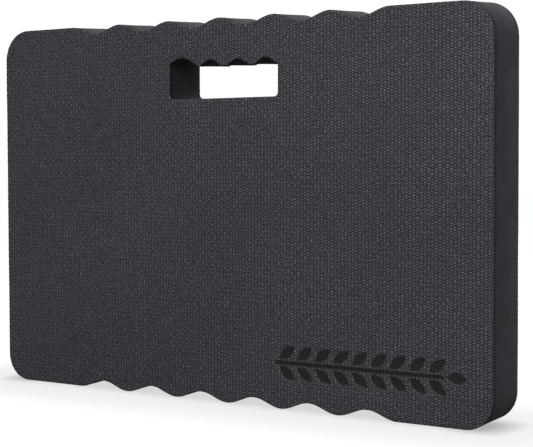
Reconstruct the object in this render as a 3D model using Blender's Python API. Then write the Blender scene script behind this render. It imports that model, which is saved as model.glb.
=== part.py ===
"""A thick foam kneeling pad, standing on one of its long edges.

Two embossed outer sheets and two core slabs are glued together with three films of contact
adhesive, and one die cuts the whole stack: a block with round corners, wavy long edges to grip
and a hand slot with finger waves.  Metres; +X runs along the pad, +Y through it towards its rear
face and +Z up, with the origin in the middle of the edge that it stands on.
"""

from math import cos, hypot, pi, radians, sin

import bmesh
import bpy

# The block
LENGTH = 0.4318
HEIGHT = 0.2794
THICKNESS = 0.0381
TOP_CORNER_RADIUS = 0.0230
BOTTOM_CORNER_RADIUS = 0.0203
CORNER_STEPS = 6

# The waves along the bottom edge; half a turn of the pad gives the top edge's
WAVE_PITCH = 0.0473
WAVE_DEPTH = 0.0060
WAVE_COUNT = 6
WAVE_MIDDLE_X = 0.003
WAVE_STEPS = 12

# The hand slot: (left end, right end, rise) of the four finger waves in its ceiling; the left wall
# stops the first one short of its own end
SLOT_LEFT_X = -0.0487
SLOT_RIGHT_X = 0.0487
SLOT_FLOOR_Z = 0.2213
SLOT_CEILING_Z = 0.2449
SLOT_CORNER_RADIUS = 0.0035
SLOT_CORNER_STEPS = 3
FINGERS = (
    (-0.0524, -0.0218, 0.0068),
    (-0.0205, -0.0008, 0.0048),
    (0.0042, 0.0238, 0.0046),
    (0.0284, 0.0476, 0.0047),
)
FINGER_POWER = 1.1
FINGER_STEPS = 8

# The stack, from the front face to the rear one
SKIN_THICKNESS = 0.0045
FILM_THICKNESS = 0.0003
TOUCHING_GAP = 0.0003
FILM_INSET = 0.0015
GLUE_LINE = FILM_THICKNESS + 2 * TOUCHING_GAP
CORE_THICKNESS = (THICKNESS - 2 * SKIN_THICKNESS - 3 * GLUE_LINE) / 2

# The pressed-in mark on the front face: a sprig of leaves
MARK_DEPTH = 0.0010
CUTTER_OVERSHOOT = 0.0010
STEM_Z = 0.0328
STEM_LEFT_X = 0.0450
STEM_LENGTH = 0.1350
STEM_WIDTH = 0.0030
LEAF_LENGTH = 0.0165
LEAF_WIDTH = 0.0079
LEAF_ANGLE = radians(36)
LEAF_CLEARANCE = 0.0009
LEAF_PAIRS = 9
LEAF_SPACING = 0.0150
FIRST_LEAF_X = 0.0485
TIP_LEAF_GAP = 0.0010
LEAF_STEPS = 6

# Linear colour, roughness
SKIN_LOOK = ((0.045, 0.045, 0.050), 0.70)
CORE_LOOK = ((0.036, 0.036, 0.039), 0.85)
FILM_LOOK = ((0.018, 0.018, 0.018), 0.60)

WELD_DISTANCE = 1e-6


def clear_scene():
    for item in list(bpy.data.objects):
        bpy.data.objects.remove(item)


def add_collection(name):
    collection = bpy.data.collections.new(name)
    bpy.context.scene.collection.children.link(collection)
    return collection


def foam_material(name, look):
    colour, roughness = look
    material = bpy.data.materials.new(name)
    material.use_nodes = True
    shader = material.node_tree.nodes["Principled BSDF"]
    shader.inputs["Base Color"].default_value = (*colour, 1.0)
    shader.inputs["Roughness"].default_value = roughness
    shader.inputs["Metallic"].default_value = 0.0
    material.diffuse_color = (*colour, 1.0)
    return material


def arc(centre_x, centre_z, radius, start, steps):
    """A quarter circle, anticlockwise from the angle start."""
    angles = [start + pi / 2 * i / steps for i in range(steps + 1)]
    return [(centre_x + radius * cos(a), centre_z + radius * sin(a)) for a in angles]


def wave_edge():
    """(x, inset) along the bottom edge, from left to right; the inset is 0 on the lobes."""
    left = WAVE_MIDDLE_X - WAVE_PITCH * WAVE_COUNT / 2
    points = []
    for i in range(WAVE_COUNT * WAVE_STEPS + 1):
        turn = 2 * pi * i / WAVE_STEPS
        x = left + WAVE_PITCH * i / WAVE_STEPS
        points.append((x, WAVE_DEPTH * (1 - cos(turn)) / 2))
    return points


def block_outline():
    """The outer edge of every sheet, anticlockwise."""
    low = BOTTOM_CORNER_RADIUS
    low_side = LENGTH / 2 - low
    high = HEIGHT - TOP_CORNER_RADIUS
    high_side = LENGTH / 2 - TOP_CORNER_RADIUS
    waves = wave_edge()
    return (
        arc(-low_side, low, BOTTOM_CORNER_RADIUS, pi, CORNER_STEPS)
        + waves
        + arc(low_side, low, BOTTOM_CORNER_RADIUS, -pi / 2, CORNER_STEPS)
        + arc(high_side, high, TOP_CORNER_RADIUS, 0, CORNER_STEPS)
        + [(-x, HEIGHT - inset) for x, inset in waves]
        + arc(-high_side, high, TOP_CORNER_RADIUS, pi / 2, CORNER_STEPS)
    )


def finger_wave(left, right, rise):
    """The slot's ceiling over one finger, from right to left."""
    reached = (right - max(left, SLOT_LEFT_X)) / (right - left)
    points = []
    for i in range(FINGER_STEPS + 1):
        along = reached * i / FINGER_STEPS
        height = rise * abs(sin(pi * along)) ** FINGER_POWER
        points.append((right + (left - right) * along, SLOT_CEILING_Z + height))
    return points


def slot_outline():
    """The edge of the hand slot, anticlockwise."""
    left = SLOT_LEFT_X + SLOT_CORNER_RADIUS
    right = SLOT_RIGHT_X - SLOT_CORNER_RADIUS
    floor = SLOT_FLOOR_Z + SLOT_CORNER_RADIUS
    points = arc(left, floor, SLOT_CORNER_RADIUS, pi, SLOT_CORNER_STEPS)
    points += arc(right, floor, SLOT_CORNER_RADIUS, -pi / 2, SLOT_CORNER_STEPS)
    points.append((SLOT_RIGHT_X, SLOT_CEILING_Z))
    for finger in reversed(FINGERS):
        points += finger_wave(*finger)
    return points


def shrunk(loop, distance):
    """An anticlockwise loop with each point moved inwards; a negative distance moves it out."""
    moved = []
    for i, (x, z) in enumerate(loop):
        before_x, before_z = loop[i - 1]
        after_x, after_z = loop[(i + 1) % len(loop)]
        along_x = after_x - before_x
        along_z = after_z - before_z
        reach = distance / hypot(along_x, along_z)
        moved.append((x - along_z * reach, z + along_x * reach))
    return moved


def leaf(base_x, base_z, angle):
    """A pointed leaf between two equal curves, anticlockwise from its base."""
    edge = []
    for i in range(LEAF_STEPS):
        along = i / LEAF_STEPS
        edge.append((LEAF_LENGTH * along, -LEAF_WIDTH / 2 * sin(pi * along)))
    edge.append((LEAF_LENGTH, 0.0))
    edge += [(u, -v) for u, v in reversed(edge[1:-1])]
    across = (cos(angle), sin(angle))
    return [
        (base_x + u * across[0] - v * across[1], base_z + u * across[1] + v * across[0])
        for u, v in edge
    ]


def sprig():
    """The loops of the mark: a straight stem, pairs of leaves along it and one leaf at its tip."""
    half = STEM_WIDTH / 2
    tip_x = STEM_LEFT_X + STEM_LENGTH
    stem = [
        (STEM_LEFT_X, STEM_Z - half),
        (tip_x, STEM_Z - half),
        (tip_x, STEM_Z + half),
        (STEM_LEFT_X, STEM_Z + half),
    ]
    loops = [stem, leaf(tip_x + TIP_LEAF_GAP, STEM_Z, 0.0)]
    for i in range(LEAF_PAIRS):
        base_x = FIRST_LEAF_X + i * LEAF_SPACING
        reach = half + LEAF_CLEARANCE
        loops.append(leaf(base_x, STEM_Z + reach, LEAF_ANGLE))
        loops.append(leaf(base_x, STEM_Z - reach, -LEAF_ANGLE))
    return loops


def add_plate(name, loops, front_y, thickness, collection):
    """A flat plate with the loops' outline, standing in the XZ plane, its front face at front_y."""
    curve = bpy.data.curves.new(name, "CURVE")
    curve.dimensions = "2D"
    curve.fill_mode = "BOTH"
    curve.extrude = thickness / 2
    for loop in loops:
        spline = curve.splines.new("POLY")
        spline.points.add(len(loop) - 1)
        for point, (x, z) in zip(spline.points, loop):
            point.co = (x, z, 0.0, 1.0)
        spline.use_cyclic_u = True
    plate = bpy.data.objects.new(name, curve)
    plate.location = (0.0, front_y + thickness / 2, 0.0)
    plate.rotation_euler = (radians(90), 0.0, 0.0)
    collection.objects.link(plate)
    return plate


def made_mesh(plate, collection):
    """The plate as one welded mesh object with the same name and place."""
    bpy.context.view_layer.update()
    graph = bpy.context.evaluated_depsgraph_get()
    mesh = bpy.data.meshes.new_from_object(plate.evaluated_get(graph))
    welded = bmesh.new()
    welded.from_mesh(mesh)
    bmesh.ops.remove_doubles(welded, verts=welded.verts, dist=WELD_DISTANCE)
    bmesh.ops.recalc_face_normals(welded, faces=welded.faces)
    welded.to_mesh(mesh)
    welded.free()
    name = plate.name
    place = plate.matrix_world.copy()
    bpy.data.objects.remove(plate)
    solid = bpy.data.objects.new(name, mesh)
    solid.matrix_world = place
    collection.objects.link(solid)
    return solid


def press_mark(skin, front_y, cutters):
    """Cuts the sprig into the skin's front face."""
    depth = MARK_DEPTH + CUTTER_OVERSHOOT
    plate = add_plate("mark_cutter", sprig(), front_y - CUTTER_OVERSHOOT, depth, cutters)
    cutter = made_mesh(plate, cutters)
    cutter.hide_render = True
    cutter.display_type = "WIRE"
    cut = skin.modifiers.new("pressed_mark", "BOOLEAN")
    cut.operation = "DIFFERENCE"
    cut.solver = "EXACT"
    cut.object = cutter


def build_pad():
    clear_scene()
    parts = add_collection("kneeling_pad")
    cutters = add_collection("cutters")
    skin = foam_material("embossed_foam", SKIN_LOOK)
    core = foam_material("core_foam", CORE_LOOK)
    film = foam_material("adhesive", FILM_LOOK)
    die = [block_outline(), slot_outline()]
    held_back = [shrunk(die[0], FILM_INSET), shrunk(die[1], -FILM_INSET)]
    stack = (
        ("front_skin", die, SKIN_THICKNESS, skin),
        ("front_glue_film", held_back, FILM_THICKNESS, film),
        ("front_core_slab", die, CORE_THICKNESS, core),
        ("middle_glue_film", held_back, FILM_THICKNESS, film),
        ("rear_core_slab", die, CORE_THICKNESS, core),
        ("rear_glue_film", held_back, FILM_THICKNESS, film),
        ("rear_skin", die, SKIN_THICKNESS, skin),
    )
    front_y = -THICKNESS / 2
    for name, loops, thickness, material in stack:
        sheet = add_plate(name, loops, front_y, thickness, parts)
        if name == "front_skin":
            sheet = made_mesh(sheet, parts)
            press_mark(sheet, front_y, cutters)
        sheet.data.materials.append(material)
        front_y += thickness + TOUCHING_GAP


build_pad()
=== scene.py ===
"""The looks of the foam kneeling pad: embossed outer sheets, a die-cut foam core and glue lines.

Each sheet is rebuilt as a fine mesh inside the space that its CAD node holds.  One die has cut
the whole stack, so every sheet follows the same two outlines: the block with its wavy long
edges, and the hand slot.  Metres, in the frame of the CAD part: +X along the pad, +Y through it
to the rear, +Z up.
"""

from math import pi, radians

import bmesh
import bpy
import numpy as np
from mathutils import Matrix, Vector
from mathutils.geometry import delaunay_2d_cdt


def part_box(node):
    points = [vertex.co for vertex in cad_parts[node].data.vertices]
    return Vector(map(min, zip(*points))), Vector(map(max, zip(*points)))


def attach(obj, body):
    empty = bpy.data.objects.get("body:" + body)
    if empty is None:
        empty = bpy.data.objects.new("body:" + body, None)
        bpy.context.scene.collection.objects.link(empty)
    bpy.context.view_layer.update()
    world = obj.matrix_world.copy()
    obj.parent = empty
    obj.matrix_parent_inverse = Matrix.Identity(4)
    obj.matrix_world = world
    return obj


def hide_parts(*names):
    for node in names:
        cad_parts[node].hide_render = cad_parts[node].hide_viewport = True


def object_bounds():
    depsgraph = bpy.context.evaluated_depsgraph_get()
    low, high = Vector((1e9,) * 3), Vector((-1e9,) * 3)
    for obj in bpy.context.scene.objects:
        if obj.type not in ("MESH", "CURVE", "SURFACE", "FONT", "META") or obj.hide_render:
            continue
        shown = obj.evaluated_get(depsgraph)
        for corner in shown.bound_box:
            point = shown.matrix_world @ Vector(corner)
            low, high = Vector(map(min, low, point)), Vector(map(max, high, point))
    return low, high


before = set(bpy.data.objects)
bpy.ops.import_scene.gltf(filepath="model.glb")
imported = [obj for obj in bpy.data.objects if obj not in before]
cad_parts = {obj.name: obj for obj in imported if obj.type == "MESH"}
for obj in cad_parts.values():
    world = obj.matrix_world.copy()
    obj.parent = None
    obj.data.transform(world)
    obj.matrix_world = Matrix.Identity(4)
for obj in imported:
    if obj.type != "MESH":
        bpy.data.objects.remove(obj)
cad_low, cad_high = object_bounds()

MM = 0.001

# The die: round corners, waves along both long edges and the hand slot, as the CAD has them, with
# (left end, right end, rise) of the four finger waves in the slot's ceiling
TOP_CORNER_RADIUS = 23 * MM
BOTTOM_CORNER_RADIUS = 20.3 * MM
WAVE_PITCH = 47.3 * MM
WAVE_DEPTH = 6 * MM
WAVE_COUNT = 6
WAVE_MIDDLE_X = 3 * MM
SLOT_LEFT_X = -48.7 * MM
SLOT_RIGHT_X = 48.7 * MM
SLOT_FLOOR_Z = 221.3 * MM
SLOT_CORNER_RADIUS = 3.5 * MM
SLOT_CEILING_Z = 244.9 * MM
FINGERS = (
    (-52.4 * MM, -21.8 * MM, 6.8 * MM),
    (-20.5 * MM, -0.8 * MM, 4.8 * MM),
    (4.2 * MM, 23.8 * MM, 4.6 * MM),
    (28.4 * MM, 47.6 * MM, 4.7 * MM),
)
FINGER_POWER = 1.1

# How finely the die's outlines are drawn, and how far its sharp corners are eased
CORNER_POINTS = 24
WAVE_POINTS = 64
FINGER_POINTS = 49
DRAWN_STEP = 0.3 * MM
OUTLINE_STEP = 1.2 * MM
CORNER_SOFTENING = 0.35 * MM

# Foam that the die has squeezed: it springs back a little, the cut leans up towards the rear, its
# walls are hollow and wander, and the rims are slightly round. The glue fills most of each seam
CUT_LEAN = 0.0485
HOLLOW = 0.15 * MM
BLADE_WANDER = 0.07 * MM
SPRING_BACK = 0.2 * MM
RIM_INSETS = (0.12 * MM, 0.03 * MM)
RIM_END = 1.1 * MM
WALL_STEP = 1.5 * MM
SEAM_GAP = 0.05 * MM
SEAM_EASING = 0.05 * MM
GLUE_INSET = 0.1 * MM
GLUE_FILLS = 0.8

# The embossing: upright columns in which a wide spot and a joined pair of dots take turns
COLUMN_PITCH = 2.79 * MM
ROW_PITCH = 0.975 * MM
COLUMN_START = -COLUMN_PITCH / 2
EMBOSS_DEPTH = 0.5 * MM
SWELL = 0.25 * MM

# The pressed mark, with a sloping wall; its floor loses the share MARK_FLATTENS of the embossing
MARK_DEPTH = 1.0 * MM
MARK_WALL = 0.45 * MM
MARK_FLATTENS = 0.75
STEM_Z = 32.8 * MM
STEM_LEFT_X = 45.0 * MM
STEM_LENGTH = 135.0 * MM
STEM_WIDTH = 3.0 * MM
LEAF_LENGTH = 16.5 * MM
LEAF_WIDTH = 7.9 * MM
LEAF_ANGLE = radians(36)
LEAF_CLEARANCE = 0.9 * MM
LEAF_PAIRS = 9
LEAF_SPACING = 15.0 * MM
FIRST_LEAF_X = 48.5 * MM
TIP_LEAF_GAP = 1.0 * MM
LEAF_STEPS = 14

# Where triangles take over from a face's cells: along every edge, at points this far apart, no
# cell may be nearer than this across and up
FENCE_STEP = 0.25 * MM
FENCE_ACROSS = 0.4 * MM
FENCE_UP = 0.3 * MM

WELD = 0.005 * MM
TRIANGLE_TOLERANCE = 1e-7
POINTS_AT_ONCE = 4000

# Which of a piece's two materials its mesh faces wear
FACE, CUT = 0, 1


# ---------------------------------------------------------------- outlines, as (x, z) arrays


def evenly_spaced(loop, step):
    """The closed loop again, with its points the same distance apart."""
    closed = np.vstack([loop, loop[:1]])
    travelled = np.concatenate([[0.0], np.cumsum(np.hypot(*np.diff(closed, axis=0).T))])
    at = np.linspace(0, travelled[-1], max(4, round(travelled[-1] / step)), endpoint=False)
    return np.column_stack([np.interp(at, travelled, closed[:, k]) for k in (0, 1)])


def softened(loop, step, reach):
    """The loop with its sharp corners eased by a bell curve of this reach."""
    half = int(3 * reach / step)
    weights = np.exp(-0.5 * (np.arange(-half, half + 1) * step / reach) ** 2)
    weights /= weights.sum()
    shifted = [np.roll(loop, shift, axis=0) for shift in range(-half, half + 1)]
    return sum(w * points for w, points in zip(weights, shifted))


def leftwards(loop):
    """Unit vectors to the left of the way round: into an anticlockwise loop."""
    along = np.roll(loop, -1, axis=0) - np.roll(loop, 1, axis=0)
    along /= np.linalg.norm(along, axis=1, keepdims=True)
    return np.column_stack([-along[:, 1], along[:, 0]])


def quarter(centre_x, centre_z, radius, start):
    """A quarter circle, anticlockwise from the angle start."""
    angles = start + np.linspace(0, pi / 2, CORNER_POINTS)
    x, z = centre_x + radius * np.cos(angles), centre_z + radius * np.sin(angles)
    return np.column_stack([x, z])


def block_loop():
    """The outer edge, anticlockwise; half a turn carries one wavy edge onto the other."""
    half, height = (cad_high.x - cad_low.x) / 2, cad_high.z - cad_low.z
    low, low_side = BOTTOM_CORNER_RADIUS, half - BOTTOM_CORNER_RADIUS
    high, high_side = height - TOP_CORNER_RADIUS, half - TOP_CORNER_RADIUS
    along = np.linspace(0, WAVE_COUNT, WAVE_COUNT * WAVE_POINTS + 1)
    x = WAVE_MIDDLE_X + WAVE_PITCH * (along - WAVE_COUNT / 2)
    inset = WAVE_DEPTH * (1 - np.cos(2 * pi * along)) / 2
    return np.vstack(
        [
            quarter(-low_side, low, BOTTOM_CORNER_RADIUS, pi),
            np.column_stack([x, inset]),
            quarter(low_side, low, BOTTOM_CORNER_RADIUS, -pi / 2),
            quarter(high_side, high, TOP_CORNER_RADIUS, 0),
            np.column_stack([-x, height - inset]),
            quarter(-high_side, high, TOP_CORNER_RADIUS, pi / 2),
        ]
    )


def slot_loop():
    """The edge of the hand slot, anticlockwise; the left wall stops the first finger's wave."""
    floor = SLOT_FLOOR_Z + SLOT_CORNER_RADIUS
    stretches = [
        quarter(SLOT_LEFT_X + SLOT_CORNER_RADIUS, floor, SLOT_CORNER_RADIUS, pi),
        quarter(SLOT_RIGHT_X - SLOT_CORNER_RADIUS, floor, SLOT_CORNER_RADIUS, -pi / 2),
        np.array([[SLOT_RIGHT_X, SLOT_CEILING_Z]]),
    ]
    for left, right, rise in reversed(FINGERS):
        reached = (right - max(left, SLOT_LEFT_X)) / (right - left)
        along = np.linspace(0, reached, FINGER_POINTS)
        ceiling = SLOT_CEILING_Z + rise * np.abs(np.sin(pi * along)) ** FINGER_POWER
        stretches.append(np.column_stack([right + (left - right) * along, ceiling]))
    return np.vstack(stretches)


def leaf_loop(base_x, base_z, angle):
    """A pointed leaf, anticlockwise from its base."""
    along = np.linspace(0, 1, LEAF_STEPS + 1)
    lower = np.column_stack([LEAF_LENGTH * along, -LEAF_WIDTH / 2 * np.sin(pi * along)])
    upper = (lower * (1, -1))[-2:0:-1]
    turn = np.array([[np.cos(angle), np.sin(angle)], [-np.sin(angle), np.cos(angle)]])
    return np.vstack([lower, upper]) @ turn + (base_x, base_z)


def mark_loops():
    """The pressed sprig: a stem, pairs of leaves along it and one leaf at its tip."""
    half = STEM_WIDTH / 2
    tip_x = STEM_LEFT_X + STEM_LENGTH
    corners = [(STEM_LEFT_X, -half), (tip_x, -half), (tip_x, half), (STEM_LEFT_X, half)]
    stem = evenly_spaced(np.array(corners) + (0, STEM_Z), OUTLINE_STEP)
    loops = [stem, leaf_loop(tip_x + TIP_LEAF_GAP, STEM_Z, 0.0)]
    reach = half + LEAF_CLEARANCE
    for i in range(LEAF_PAIRS):
        base_x = FIRST_LEAF_X + i * LEAF_SPACING
        loops.append(leaf_loop(base_x, STEM_Z + reach, LEAF_ANGLE))
        loops.append(leaf_loop(base_x, STEM_Z - reach, -LEAF_ANGLE))
    return loops


class DieCut:
    """The two outlines that every sheet follows, with the way into the foam at each point."""

    def __init__(self):
        self.loops, self.inwards = [], []
        for drawn, side in ((block_loop(), 1), (slot_loop(), -1)):
            fine = softened(evenly_spaced(drawn, DRAWN_STEP), DRAWN_STEP, CORNER_SOFTENING)
            loop = evenly_spaced(fine, OUTLINE_STEP)
            self.loops.append(loop)
            self.inwards.append(side * leftwards(loop))


die = DieCut()


# ---------------------------------------------------------------- relief of the faces


def folded(values, half):
    """A triangle wave from 0 to half, which is 0 at 0."""
    return np.abs((values + half) % (2 * half) - half)


def dome(x, z, centre, reach):
    """A soft round spot, 1 in its middle and 0 from its reach on."""
    squared = ((x - centre[0]) / reach[0]) ** 2 + ((z - centre[1]) / reach[1]) ** 2
    return np.clip(1 - squared, 0, 1) ** 2


# The raised spots, (reach across and up) and height, and their places in the folded cell: in one
# column and, half a repeat higher, in the next
WIDE = (2.15 * MM, 0.88 * MM), 0.8
DOT = (1.45 * MM, 0.88 * MM), 1.0
BRIDGE = (1.4 * MM, 1.2 * MM), 0.45
SPOTS = (
    ((0.0, 0.0), *WIDE),
    ((COLUMN_PITCH, 3 * ROW_PITCH), *WIDE),
    ((0.0, 2 * ROW_PITCH), *DOT),
    ((COLUMN_PITCH, ROW_PITCH), *DOT),
    ((0.0, 3 * ROW_PITCH), *BRIDGE),
    ((COLUMN_PITCH, 0.0), *BRIDGE),
)

# Slow waves of the soft faces: (radians a metre across and up, start)
SWELLS = ((31, 17, 0.4), (-23, 41, 1.9), (53, -12, 3.1), (11, 67, 5.0))

# Slow errors of the blade: (share, radians a metre across, up and through the stack, start)
WANDERS = ((1.0, 61, 47, 90, 0.0), (1.0, -38, 83, 0, 1.3), (0.5, 190, 160, 260, 0.7))


def weave(x, z):
    """Height of the embossing from 0 to 1."""
    across, up = folded(x - COLUMN_START, COLUMN_PITCH), folded(z, 3 * ROW_PITCH)
    return np.max([h * dome(across, up, centre, reach) for centre, reach, h in SPOTS], axis=0)


def swell(x, z):
    """Slow rises and dips of the soft face, from -1 to 1."""
    return sum(np.sin(a * x + b * z + c) for a, b, c in SWELLS) / len(SWELLS)


def depth_into(loops, x, z):
    """How far inside the nearest of the loops each point lies; 0 outside them."""
    found = np.zeros(len(x))
    for loop in loops:
        low, high = loop.min(0), loop.max(0)
        near = np.flatnonzero((x > low[0]) & (x < high[0]) & (z > low[1]) & (z < high[1]))
        if not len(near):
            continue
        points = np.column_stack([x[near], z[near]])
        inside = is_inside(points, [loop])
        start, way = loop, np.roll(loop, -1, axis=0) - loop
        offset = points[:, None] - start
        share = np.clip((offset * way).sum(-1) / (way**2).sum(-1), 0, 1)
        distance = np.linalg.norm(offset - share[..., None] * way, axis=-1).min(1)
        found[near] = np.maximum(found[near], np.where(inside, distance, 0))
    return found


def is_inside(points, loops):
    """Even-odd test of points against the loops together."""
    inside = np.zeros(len(points), bool)
    for loop in loops:
        x0, z0 = loop.T
        x1, z1 = np.roll(loop, -1, axis=0).T
        for chunk in np.array_split(np.arange(len(points)), len(points) // POINTS_AT_ONCE + 1):
            px, pz = points[chunk, 0][:, None], points[chunk, 1][:, None]
            spans = (z0 <= pz) != (z1 <= pz)
            rise = np.where(z1 == z0, 1, z1 - z0)
            crosses = spans & (x0 + (pz - z0) / rise * (x1 - x0) > px)
            inside[chunk] ^= crosses.sum(1) % 2 == 1
    return inside


def face_relief(x, z, marks):
    """(depth below the face plane, how deep in the mark from 0 to 1)."""
    pressed = np.clip(depth_into(marks, x, z) / MARK_WALL, 0, 1)
    pressed = pressed * pressed * (3 - 2 * pressed)
    woven = EMBOSS_DEPTH * (1 - weave(x, z)) * (1 - MARK_FLATTENS * pressed)
    return woven + SWELL * (1 + swell(x, z)) / 2 + MARK_DEPTH * pressed, pressed


# ---------------------------------------------------------------- meshes of the sheets


class Gathered:
    """Points and faces of one sheet, gathered before they become a mesh."""

    def __init__(self):
        self.points, self.faces, self.kinds, self.count = [], [], [], 0

    def add(self, points, faces, kind):
        self.points.append(points)
        self.faces += [tuple(np.add(face, self.count)) for face in faces]
        self.kinds += [kind] * len(faces)
        self.count += len(points)

    def object(self, name, marks=()):
        """The sheet as an object, leaning as cut; it remembers how far the marks are pressed."""
        points = np.vstack(self.points)
        points[:, 2] += SPRING_BACK + CUT_LEAN * (points[:, 1] - cad_low.y)
        mesh = bpy.data.meshes.new(name)
        mesh.from_pydata(points.tolist(), [], [tuple(map(int, f)) for f in self.faces])
        mesh.polygons.foreach_set("material_index", self.kinds)
        welded = bmesh.new()
        welded.from_mesh(mesh)
        bmesh.ops.remove_doubles(welded, verts=welded.verts, dist=WELD)
        bmesh.ops.recalc_face_normals(welded, faces=welded.faces)
        welded.to_mesh(mesh)
        welded.free()
        mesh.shade_smooth()
        piece = bpy.data.objects.new(name, mesh)
        bpy.context.scene.collection.objects.link(piece)
        if len(marks):
            at = np.empty(len(mesh.vertices) * 3)
            mesh.vertices.foreach_get("co", at)
            at = at.reshape(-1, 3)
            face_depth = 3 * MARK_DEPTH
            on_face = at[:, 1] < at[:, 1].min() + face_depth
            pressed = np.where(on_face, face_relief(at[:, 0], at[:, 2], marks)[1], 0)
            mesh.attributes.new("pressed", "FLOAT", "POINT").data.foreach_set("value", pressed)
        return piece


def as_points(flat, y):
    """(x, z) rows as (x, y, z) rows."""
    return np.column_stack([flat[:, 0], np.broadcast_to(y, len(flat)), flat[:, 1]])


def joined(loops):
    """The points of all the loops, and the edges that run round each of them."""
    points = np.vstack(loops)
    edges, start = [], 0
    for loop in loops:
        ids = np.arange(len(loop)) + start
        edges += list(zip(ids.tolist(), np.roll(ids, -1).tolist()))
        start += len(loop)
    return points, edges


def cut_flat(points, edges, loops, keep=None):
    """Delaunay triangles inside the loops; keep(centres) can leave more of them out."""
    out = delaunay_2d_cdt([Vector(p) for p in points], edges, [], 0, TRIANGLE_TOLERANCE)
    flat = np.array([tuple(v) for v in out[0]])
    faces = np.array([tuple(f) for f in out[2]])
    centres = flat[faces].mean(1)
    wanted = is_inside(centres, loops)
    if keep is not None:
        wanted &= keep(centres)
    return flat, faces[wanted]


def plain_cap(gathered, loops, y, kind):
    """A flat face inside the loops."""
    points, edges = joined(loops)
    flat, faces = cut_flat(points, edges, loops)
    gathered.add(as_points(flat, y), faces.tolist(), kind)


def embossed_cap(gathered, loops, marks, y_of):
    """A face of small cells in step with the weave, fitted to its edges by triangles."""
    cell = np.array([COLUMN_PITCH / 2, ROW_PITCH])
    first = np.floor(loops[0].min(0) / cell).astype(int) - 1
    shape = np.ceil(loops[0].max(0) / cell).astype(int) + 2 - first
    i, j = np.meshgrid(np.arange(shape[0]), np.arange(shape[1]), indexing="ij")
    middles = (np.stack([i, j], -1) + first + 0.5) * cell
    kept = is_inside(middles.reshape(-1, 2), loops).reshape(shape)
    floors = [loop + MARK_WALL * leftwards(loop) for loop in marks]
    fences = [*loops, *marks, *floors]
    for fence in fences:
        fine = evenly_spaced(fence, FENCE_STEP)
        for across in (-FENCE_ACROSS, 0, FENCE_ACROSS):
            for up in (-FENCE_UP, 0, FENCE_UP):
                at = np.floor((fine + (across, up)) / cell).astype(int) - first
                kept[at[:, 0], at[:, 1]] = False
    rows = shape[1] + 1
    corner = i * rows + j
    quads = np.stack([corner, corner + rows, corner + rows + 1, corner + 1], -1)[kept]
    used, quads = np.unique(quads, return_inverse=True)
    quads = quads.reshape(-1, 4)
    flat = (np.column_stack([used // rows, used % rows]) + first) * cell
    gathered.add(as_points(flat, y_of(flat)), quads.tolist(), FACE)
    sides = np.vstack([quads[:, [k, (k + 1) % 4]] for k in range(4)])
    sides = np.sort(sides, axis=1)
    border, times = np.unique(sides, axis=0, return_counts=True)
    border = border[times == 1]
    ends, border = np.unique(border, return_inverse=True)
    points, edges = joined(fences)
    edges += (border.reshape(-1, 2) + len(points)).tolist()
    points = np.vstack([points, flat[ends]])

    def outside_cells(centres):
        at = np.floor(centres / cell).astype(int) - first
        return ~kept[at[:, 0], at[:, 1]]

    flat, faces = cut_flat(points, edges, loops, outside_cells)
    gathered.add(as_points(flat, y_of(flat)), faces.tolist(), FACE)


def hollow_at(y):
    """How far the cut wall has sprung in at this depth, most in the middle of the stack."""
    middle = (cad_low.y + cad_high.y) / 2
    half = (cad_high.y - cad_low.y) / 2
    return HOLLOW * (1 - ((y - middle) / half) ** 2)


def blade_wander(flat, y):
    """Small errors of the cut along the outline, which change slowly through the stack."""
    x, z = flat.T
    errors = [share * np.sin(a * x + b * z + c * y + start) for share, a, b, c, start in WANDERS]
    return BLADE_WANDER * sum(errors) / sum(share for share, *_ in WANDERS)


def wall(gathered, rings, kind):
    """Quads between rings of (both loops, y of each point), from the front to the rear."""
    for which in range(len(die.loops)):
        points = np.vstack([as_points(loops[which], ys[which]) for loops, ys in rings])
        count = len(die.loops[which])
        faces = []
        for ring in range(len(rings) - 1):
            here = np.arange(count) + ring * count
            after = np.roll(here, -1)
            faces += np.stack([here, after, after + count, here + count], -1).tolist()
        gathered.add(points, faces, kind)


def cut_ring(y, inset=0.0):
    """One ring of the cut wall at depth y: (both loops, their y)."""
    loops = []
    for loop, inward in zip(die.loops, die.inwards):
        reach = inset - SPRING_BACK + hollow_at(y) + blade_wander(loop, y)
        loops.append(loop + reach[:, None] * inward)
    return loops, [y, y]


def levels(start, end):
    """Depths of the rings of a cut wall, from start to end."""
    return np.linspace(start, end, max(2, round(abs(end - start) / WALL_STEP) + 1))


def skin_piece(name, face_y, inner_y, marks):
    """An outer sheet: an embossed face at face_y, a slightly round rim and a cut edge."""
    inwards = 1 if inner_y > face_y else -1
    rim_y = face_y + inwards * RIM_END
    gathered = Gathered()

    def y_of(flat):
        return face_y + inwards * face_relief(flat[:, 0], flat[:, 1], marks)[0]

    rim, eased = [cut_ring(rim_y, inset)[0] for inset in RIM_INSETS]
    embossed_cap(gathered, rim, marks, y_of)
    rings = [
        (rim, [y_of(loop) for loop in rim]),
        (eased, [(y_of(loop) + rim_y) / 2 for loop in eased]),
    ]
    for y in levels(rim_y, inner_y - inwards * SEAM_EASING):
        rings.append(cut_ring(y))
    rings.append(cut_ring(inner_y, SEAM_EASING))
    wall(gathered, rings, CUT)
    plain_cap(gathered, rings[-1][0], inner_y, CUT)
    return gathered.object(name, marks)


def slab_piece(name, front_y, rear_y):
    """A core slab: two flat glued faces and the cut wall between them."""
    gathered = Gathered()
    rings = [cut_ring(front_y, SEAM_EASING)]
    for y in levels(front_y + SEAM_EASING, rear_y - SEAM_EASING):
        rings.append(cut_ring(y))
    rings.append(cut_ring(rear_y, SEAM_EASING))
    wall(gathered, rings, CUT)
    plain_cap(gathered, rings[0][0], front_y, CUT)
    plain_cap(gathered, rings[-1][0], rear_y, CUT)
    return gathered.object(name)


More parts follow.
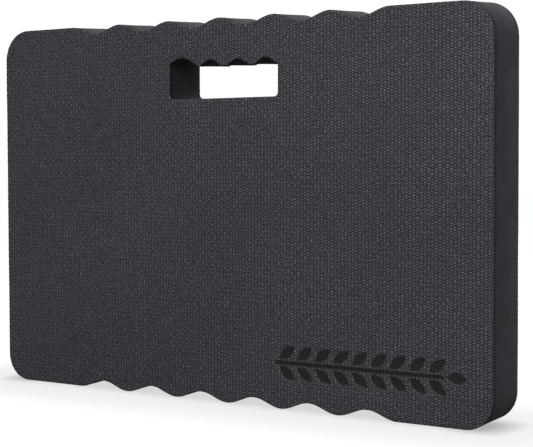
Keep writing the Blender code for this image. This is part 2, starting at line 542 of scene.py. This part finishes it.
def glue_piece(name, front_y, rear_y):
    """A film of adhesive that stops just inside the cut wall."""
    gathered = Gathered()
    rings = [cut_ring(y, GLUE_INSET) for y in (front_y, rear_y)]
    wall(gathered, rings, CUT)
    plain_cap(gathered, rings[0][0], front_y, CUT)
    plain_cap(gathered, rings[1][0], rear_y, CUT)
    return gathered.object(name)


# ---------------------------------------------------------------- materials


# Nearly all of a noise lies between these
NOISE_LOW, NOISE_HIGH = 0.3, 0.7

# Noises: (cells a metre, detail, lowest, highest). Those of the brightness run from wide to fine
FACE_NOISES = (
    (11.0, 3.0, 0.93, 1.07),
    (110.0, 3.0, 0.96, 1.04),
    (1250.0, 0.0, 0.45, 1.55),
    (2600.0, 2.0, 0.80, 1.20),
)
FACE_ROUGHNESS_NOISE = (240.0, 2.0, -0.04, 0.04)
CUT_NOISES = ((60.0, 3.0, 0.90, 1.10), (1500.0, 2.0, 0.78, 1.22))
CUT_ROUGHNESS_NOISE = (300.0, 2.0, 0.70, 0.84)
GLUE_NOISE = (700.0, 2.0, 0.8, 1.2)
GLUE_ROUGHNESS_NOISE = (900.0, 2.0, 0.45, 0.65)

# What follows the embossing: (number in the hollows, on the spots, height of the one, of the other)
# Painted shade: the face and the rim are darker in the hollows of the embossing
FACE_HOLLOW_SHADE = (0.39, 1.37, 0.0, 0.85)
FACE_ROUGHNESS = (0.72, 0.52, 0.0, 0.8)
RIM_HOLLOW_SHADE = (0.80, 1.20, 0.0, 0.7)

# Bumps: (cells a metre, detail, height)
FACE_LUMPS = (800.0, 0.0, 0.45 * MM)
FACE_GRAIN = (2600.0, 2.0, 0.05 * MM)
CUT_GRAIN = (3200.0, 2.0, 0.05 * MM)
GLUE_LUMPS = (700.0, 2.0, 0.1 * MM)

# The embossed face. Its mark loses these shares of the brightness and of the spots' bump
FACE_COLOUR = (0.0350, 0.0337, 0.0413)
FACE_SPECULAR = 0.28
MARK_DARKENS = 0.9
MARK_SMOOTHS = 0.7
SPOT_BUMP = 0.25 * MM

# Noise shifts the shaded spots a little off the ones of the mesh: (cells a metre, reach)
JITTER = (420.0, 0.5 * MM)

# The cut. STREAKS is a noise as above, with its cells a metre times STREAKS_STRETCH along each axis
CUT_COLOUR = (0.0208, 0.0204, 0.0238)
CUT_SPECULAR = 0.05
STREAKS = (1.0, 3.0, 0.94, 1.06)
STREAKS_STRETCH = (9.0, 800.0, 9.0)

# Its foam cells: how many a metre, (brightness at their walls, inside, distance of the one, of the
# other, in cells) and the height of their bump
CELLS_A_METRE = 1900.0
CELL_BRIGHTNESS = (1.12, 0.88, 0.0, 0.5)
CELL_BUMP = 0.06 * MM

# From the front face to the rear one: the cut's painted light, and the slot walls' painted shade
STACK_PAINTED_LIGHT = (0.90, 1.18)
SLOT_PAINTED_SHADE = (0.46, -0.15)
RIM_WIDTH = 2.2 * MM

# (brightness of the cut, and of its rim next to the face) for each skin, and the core's
# Painted shade: the front skin's cut is darker than the rear skin's, and each rim darker next to
# its face
FRONT_CUT_TONES = (0.72, 0.22)
REAR_CUT_TONES = (0.98, 0.75)
CORE_CUT_TONE = 1.0

# Around the hand slot: this holds its walls and nothing of the outer edge
AROUND_SLOT_X = 55 * MM
AROUND_SLOT_LOW = 200 * MM
AROUND_SLOT_HIGH = 260 * MM

GLUE_COLOUR = (0.019, 0.019, 0.022)


class Graph:
    """A material's nodes, added by short calls that return output sockets."""

    def __init__(self, name):
        self.material = bpy.data.materials.new(name)
        self.material.use_nodes = True
        self.tree = self.material.node_tree
        self.shader = self.tree.nodes["Principled BSDF"]
        self.place = self.node("ShaderNodeTexCoord").outputs["Object"]

    def node(self, kind, **settings):
        made = self.tree.nodes.new(kind)
        for name, value in settings.items():
            setattr(made, name, value)
        return made

    def feed(self, socket, value):
        """Links an output to the socket, or sets the number that it holds."""
        if isinstance(value, bpy.types.NodeSocket):
            self.tree.links.new(value, socket)
        else:
            socket.default_value = value

    def math(self, operation, a, b=0.0, clamp=False):
        made = self.node("ShaderNodeMath", operation=operation, use_clamp=clamp)
        self.feed(made.inputs[0], a)
        self.feed(made.inputs[1], b)
        return made.outputs[0]

    def vector(self, operation, a, b=(0.0, 0.0, 0.0)):
        made = self.node("ShaderNodeVectorMath", operation=operation)
        self.feed(made.inputs[0], a)
        self.feed(made.inputs[1], b)
        is_number = operation in ("DOT_PRODUCT", "LENGTH")
        return made.outputs["Value" if is_number else "Vector"]

    def noise(self, scale, detail, stretch=(1.0, 1.0, 1.0)):
        """Noise with this many cells a metre, times the stretch along each axis."""
        made = self.node("ShaderNodeTexNoise")
        self.feed(made.inputs["Vector"], self.vector("MULTIPLY", self.place, stretch))
        made.inputs["Scale"].default_value = scale
        made.inputs["Detail"].default_value = detail
        return made.outputs[0]

    def between(self, value, low, high, start, end):
        """value, from start to end, as a number from low to high."""
        made = self.node("ShaderNodeMapRange", interpolation_type="SMOOTHSTEP")
        self.feed(made.inputs["Value"], value)
        self.feed(made.inputs["From Min"], start)
        self.feed(made.inputs["From Max"], end)
        self.feed(made.inputs["To Min"], low)
        self.feed(made.inputs["To Max"], high)
        return made.outputs[0]

    def varied(self, scale, detail, low, high, stretch=(1.0, 1.0, 1.0)):
        """Noise as a number from low to high."""
        made = self.noise(scale, detail, stretch)
        return self.between(made, low, high, NOISE_LOW, NOISE_HIGH)

    def bumps(self, scale, detail, height):
        """Noise as a height in metres."""
        return self.math("MULTIPLY", self.noise(scale, detail), height)

    def product(self, *values):
        total = values[0]
        for value in values[1:]:
            total = self.math("MULTIPLY", total, value)
        return total

    def sum(self, *values):
        total = values[0]
        for value in values[1:]:
            total = self.math("ADD", total, value)
        return total

    def shaded(self, colour, brightness):
        made = self.node("ShaderNodeVectorMath", operation="SCALE")
        made.inputs[0].default_value = colour
        self.feed(made.inputs["Scale"], brightness)
        self.feed(self.shader.inputs["Base Color"], made.outputs["Vector"])

    def raised(self, height):
        """Bump from a height in metres."""
        made = self.node("ShaderNodeBump")
        made.inputs["Distance"].default_value = 1.0
        self.feed(made.inputs["Height"], height)
        self.feed(self.shader.inputs["Normal"], made.outputs["Normal"])

    def axes(self, vector):
        """The X, Y and Z of a vector."""
        parts = self.node("ShaderNodeSeparateXYZ")
        self.feed(parts.inputs[0], vector)
        return parts.outputs

    def in_slot(self):
        """1 on the walls of the hand slot, 0 on the outer edge."""
        x, _, z = self.axes(self.place)
        near = self.math("LESS_THAN", self.math("ABSOLUTE", x), AROUND_SLOT_X)
        low = self.math("LESS_THAN", z, AROUND_SLOT_HIGH)
        return self.product(near, low, self.math("GREATER_THAN", z, AROUND_SLOT_LOW))

    def edge_distance(self):
        """How far the point is from the nearer of the two faces, through the stack."""
        _, y, _ = self.axes(self.place)
        front = self.math("SUBTRACT", y, cad_low.y)
        rear = self.math("SUBTRACT", cad_high.y, y)
        return self.math("MINIMUM", front, rear)

    def weave(self):
        """The embossing's height from 0 to 1, the same spots as the mesh has."""
        scale, reach = JITTER
        jitter = self.node("ShaderNodeTexNoise")
        self.feed(jitter.inputs["Vector"], self.place)
        jitter.inputs["Scale"].default_value = scale
        drift = self.vector("SUBTRACT", jitter.outputs["Color"], (0.5, 0.5, 0.5))
        drift = self.vector("MULTIPLY", drift, (reach, reach, reach))
        x, y, z = self.axes(self.vector("ADD", self.place, drift))
        lifted = self.math("MULTIPLY", self.math("SUBTRACT", y, cad_low.y), CUT_LEAN)
        up = self.math("SUBTRACT", z, lifted)
        cell = self.node("ShaderNodeCombineXYZ")
        along = self.math("SUBTRACT", x, COLUMN_START)
        self.feed(cell.inputs["X"], self.math("PINGPONG", along, COLUMN_PITCH))
        self.feed(cell.inputs["Z"], self.math("PINGPONG", up, 3 * ROW_PITCH))
        highest = 0.0
        for centre, reach, height in SPOTS:
            off = self.vector("SUBTRACT", cell.outputs[0], (centre[0], 0.0, centre[1]))
            off = self.vector("MULTIPLY", off, (1 / reach[0], 0.0, 1 / reach[1]))
            rest = self.math("SUBTRACT", 1.0, self.vector("DOT_PRODUCT", off, off), clamp=True)
            spot = self.math("MULTIPLY", self.math("POWER", rest, 2.0), height)
            highest = self.math("MAXIMUM", highest, spot)
        return highest


def face_material():
    """Hot-embossed foam skin: satin raised spots, dull hollows between them, whose colour is
    painted darker as shade.
    """
    g = Graph("embossed_foam_face")
    height = g.weave()
    pressed = g.node("ShaderNodeAttribute", attribute_name="pressed").outputs["Fac"]
    noises = [g.varied(*noise) for noise in FACE_NOISES]
    # Painted shade: darker in the hollows between the raised spots
    hollow_shade = g.between(height, *FACE_HOLLOW_SHADE)
    recess = g.math("SUBTRACT", 1.0, g.math("MULTIPLY", pressed, MARK_DARKENS))
    g.shaded(FACE_COLOUR, g.product(*noises, hollow_shade, recess))
    rough = g.sum(g.between(height, *FACE_ROUGHNESS), g.varied(*FACE_ROUGHNESS_NOISE))
    g.feed(g.shader.inputs["Roughness"], rough)
    g.shader.inputs["Specular IOR Level"].default_value = FACE_SPECULAR
    standing = g.math("SUBTRACT", 1.0, g.math("MULTIPLY", pressed, MARK_SMOOTHS))
    spots = g.product(height, standing, SPOT_BUMP)
    g.raised(g.sum(spots, g.bumps(*FACE_LUMPS), g.bumps(*FACE_GRAIN)))
    return g.material


def cut_material(name, tone, rim_tone=None):
    """Foam as the blade left it: fine cells, and faint streaks round the outline."""
    g = Graph(name)
    streaks = g.varied(*STREAKS, STREAKS_STRETCH)
    noises = [g.varied(*noise) for noise in CUT_NOISES]
    cells = g.node("ShaderNodeTexVoronoi", feature="DISTANCE_TO_EDGE")
    g.feed(cells.inputs["Vector"], g.place)
    cells.inputs["Scale"].default_value = CELLS_A_METRE
    pores = g.between(cells.outputs["Distance"], *CELL_BRIGHTNESS)
    _, depth, _ = g.axes(g.place)
    # Painted light: the cut is darker at the front and brighter towards the rear
    stack_light = g.between(depth, *STACK_PAINTED_LIGHT, cad_low.y, cad_high.y)
    # Painted shade: the slot's walls are darker towards the front and a little brighter at the rear
    slot_shade = g.between(depth, *SLOT_PAINTED_SHADE, cad_low.y, cad_high.y)
    slot_shade = g.math("SUBTRACT", 1.0, g.math("MULTIPLY", slot_shade, g.in_slot()))
    brightness = g.product(streaks, *noises, pores, tone, stack_light, slot_shade)
    # Painted shade along the rim next to the face, darker again in the hollows of the embossing
    if rim_tone is not None:
        rim = g.between(g.edge_distance(), rim_tone, 1.0, 0.0, RIM_WIDTH)
        brightness = g.product(brightness, rim, g.between(g.weave(), *RIM_HOLLOW_SHADE))
    g.shaded(CUT_COLOUR, brightness)
    g.feed(g.shader.inputs["Roughness"], g.varied(*CUT_ROUGHNESS_NOISE))
    g.shader.inputs["Specular IOR Level"].default_value = CUT_SPECULAR
    fine = g.math("MULTIPLY", cells.outputs["Distance"], CELL_BUMP)
    g.raised(g.sum(fine, g.bumps(*CUT_GRAIN)))
    return g.material


def glue_material():
    """Dark dried adhesive, a little lumpy."""
    g = Graph("dried_adhesive")
    g.shaded(GLUE_COLOUR, g.varied(*GLUE_NOISE))
    g.feed(g.shader.inputs["Roughness"], g.varied(*GLUE_ROUGHNESS_NOISE))
    g.raised(g.bumps(*GLUE_LUMPS))
    return g.material


# ---------------------------------------------------------------- the pieces


def middle_y(node):
    """Where the middle of a CAD node lies in the stack."""
    low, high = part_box(node)
    return (low.y + high.y) / 2


def wear(piece, face, cut):
    """Gives the piece its materials, in the order of FACE and CUT."""
    piece.data.materials.append(face)
    piece.data.materials.append(cut)


def declare(piece, node):
    """Hangs the piece on the root body and hides the CAD node that it stands for."""
    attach(piece, "root")
    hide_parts(node)


def build_pad():
    """The seven pieces. Only the skins have a FACE, so the others wear one material twice."""
    face = face_material()
    # The two skins' cut materials are copies of one foam, with painted shade of different strength
    front_cut = cut_material("cut_foam_front_skin", *FRONT_CUT_TONES)
    rear_cut = cut_material("cut_foam_rear_skin", *REAR_CUT_TONES)
    core_cut = cut_material("cut_foam_core", CORE_CUT_TONE)
    glue = glue_material()
    films = ("front_glue_film", "middle_glue_film", "rear_glue_film")
    seams = [middle_y(node) for node in films]
    half = SEAM_GAP / 2
    skins = (
        ("front_skin", cad_low.y, seams[0] - half, mark_loops(), front_cut),
        ("rear_skin", cad_high.y, seams[2] + half, [], rear_cut),
    )
    for node, face_y, inner_y, marks, skin_cut in skins:
        piece = skin_piece(node + "_foam", face_y, inner_y, marks)
        wear(piece, face, skin_cut)
        declare(piece, node)
    slabs = (("front_core_slab", seams[0], seams[1]), ("rear_core_slab", seams[1], seams[2]))
    for node, front_y, rear_y in slabs:
        piece = slab_piece(node + "_foam", front_y + half, rear_y - half)
        wear(piece, core_cut, core_cut)
        declare(piece, node)
    reach = GLUE_FILLS * half
    for node, y in zip(films, seams):
        piece = glue_piece(node + "_line", y - reach, y + reach)
        wear(piece, glue, glue)
        declare(piece, node)


# ---------------------------------------------------------------- floor, light and camera


# The floor: its glow next to the pad, and what the glow gains away from it as (gain, from this
# far, to this far). All but the camera see only a share of the glow
FLOOR_SIZE = 12.0
FLOOR_DROP = 0.1 * MM
FLOOR_COLOUR = (0.06, 0.06, 0.06)
FLOOR_NOISE = (8.0, 2.0, 0.99, 1.01)
FLOOR_ROUGHNESS = 0.9
# Painted shadow: the floor glows less next to the pad than away from it
FLOOR_GLOW = 0.67
FLOOR_GLOW_GAINS = ((0.10, 0.0, 0.014), (0.18, 0.012, 0.125))
FLOOR_BOUNCE = 0.4

# The shade under the round corners: (glow lost, place along X, reach along X and Y)
CORNER_SHADE = (0.26, 0.2, 0.032, 0.042)

# The sky's light from just under the horizon to straight up, and the backdrop that the camera sees
SKY_START = -0.1
SKY_LOW, SKY_HIGH = 0.5, 0.8
BACKDROP = 1.05
WHITE = (1.0, 1.0, 1.0, 1.0)

# (name, place, aimed at, size, watts)
LAMPS = (
    ("top", (0.0, 0.15, 1.5), (0.0, 0.0, 0.0), 1.3, 29.0),
    ("key", (0.72, -0.78, 0.88), (0.0, 0.0, 0.14), 1.1, 22.0),
)

# The camera, as fitted to the photo: millimetres, metres, and degrees to the left, down and
# anticlockwise
SENSOR_WIDTH = 36.0
LENS = 98.894
CAMERA_PLACE = (0.63120, -0.87359, 0.17967)
CAMERA_TURN = 34.730
CAMERA_DIP = 2.640
CAMERA_ROLL = -0.194


def build_floor():
    """A pale floor that glows, so that its shadows stay light; the glow is painted light, lower
    next to the pad and under its round corners as a painted shadow.
    """
    place = (0.0, 0.0, cad_low.z - FLOOR_DROP)
    bpy.ops.mesh.primitive_plane_add(size=FLOOR_SIZE, location=place)
    floor = bpy.context.object
    floor.name = "floor"
    g = Graph("pale_floor")
    g.shaded(FLOOR_COLOUR, g.varied(*FLOOR_NOISE))
    g.shader.inputs["Roughness"].default_value = FLOOR_ROUGHNESS
    g.shader.inputs["Specular IOR Level"].default_value = 0.0
    g.shader.inputs["Emission Color"].default_value = WHITE
    half = (cad_high - cad_low) / 2
    off_middle = g.vector("ABSOLUTE", g.place)
    beyond = g.vector("SUBTRACT", off_middle, (half.x, half.y, 0.0))
    away = g.vector("LENGTH", g.vector("MAXIMUM", beyond, (0.0, 0.0, 0.0)))
    # Painted shadow: less glow next to the pad and under its round corners
    gains = [g.between(away, 0.0, gain, start, end) for gain, start, end in FLOOR_GLOW_GAINS]
    lost, shade_x, reach_x, reach_y = CORNER_SHADE
    off = g.vector("SUBTRACT", off_middle, (shade_x, 0.0, 0.0))
    under = g.vector("LENGTH", g.vector("MULTIPLY", off, (1 / reach_x, 1 / reach_y, 0.0)))
    shade = g.between(under, lost, 0.0, 0.0, 1.0)
    glow = g.math("SUBTRACT", g.sum(FLOOR_GLOW, *gains), shade)
    seen = g.node("ShaderNodeLightPath").outputs["Is Camera Ray"]
    share = g.math("MAXIMUM", seen, FLOOR_BOUNCE)
    g.feed(g.shader.inputs["Emission Strength"], g.math("MULTIPLY", glow, share))
    floor.data.materials.append(g.material)


def aim(thing, target):
    """Turns the thing's -Z towards the target."""
    thing.rotation_euler = (Vector(target) - thing.location).to_track_quat("-Z", "Y").to_euler()


def build_world():
    """A white backdrop; everything but the camera sees it brightest overhead."""
    world = bpy.data.worlds.new("studio")
    world.use_nodes = True
    tree = world.node_tree
    lights = tree.nodes["Background"]
    place = tree.nodes.new("ShaderNodeTexCoord")
    parts = tree.nodes.new("ShaderNodeSeparateXYZ")
    rise = tree.nodes.new("ShaderNodeMapRange")
    rise.inputs["From Min"].default_value = SKY_START
    rise.inputs["To Min"].default_value = SKY_LOW
    rise.inputs["To Max"].default_value = SKY_HIGH
    seen = tree.nodes.new("ShaderNodeBackground")
    seen.inputs["Color"].default_value = WHITE
    seen.inputs["Strength"].default_value = BACKDROP
    path = tree.nodes.new("ShaderNodeLightPath")
    choice = tree.nodes.new("ShaderNodeMixShader")
    tree.links.new(place.outputs["Generated"], parts.inputs[0])
    tree.links.new(parts.outputs["Z"], rise.inputs["Value"])
    lights.inputs["Color"].default_value = WHITE
    tree.links.new(rise.outputs[0], lights.inputs["Strength"])
    tree.links.new(path.outputs["Is Camera Ray"], choice.inputs["Fac"])
    tree.links.new(lights.outputs[0], choice.inputs[1])
    tree.links.new(seen.outputs[0], choice.inputs[2])
    tree.links.new(choice.outputs[0], tree.nodes["World Output"].inputs["Surface"])
    bpy.context.scene.world = world


def build_lamps():
    """Two broad area lamps that the camera doesn't see."""
    for name, place, target, size, power in LAMPS:
        data = bpy.data.lights.new(name, "AREA")
        data.size = size
        data.energy = power
        lamp = bpy.data.objects.new(name, data)
        lamp.location = place
        lamp.visible_camera = False
        bpy.context.scene.collection.objects.link(lamp)
        aim(lamp, target)


def build_camera():
    """The photo's camera, in front of the pad and off to its right."""
    data = bpy.data.cameras.new("camera")
    data.sensor_width = SENSOR_WIDTH
    data.lens = LENS
    camera = bpy.data.objects.new("camera", data)
    turn = Matrix.Rotation(radians(CAMERA_TURN), 4, "Z")
    tilt = Matrix.Rotation(radians(90 - CAMERA_DIP), 4, "X")
    roll = Matrix.Rotation(radians(CAMERA_ROLL), 4, "Z")
    camera.matrix_world = Matrix.Translation(CAMERA_PLACE) @ turn @ tilt @ roll
    bpy.context.scene.collection.objects.link(camera)
    bpy.context.scene.camera = camera


bpy.context.scene.view_settings.view_transform = "Standard"
build_pad()
build_floor()
build_world()
build_lamps()
build_camera()
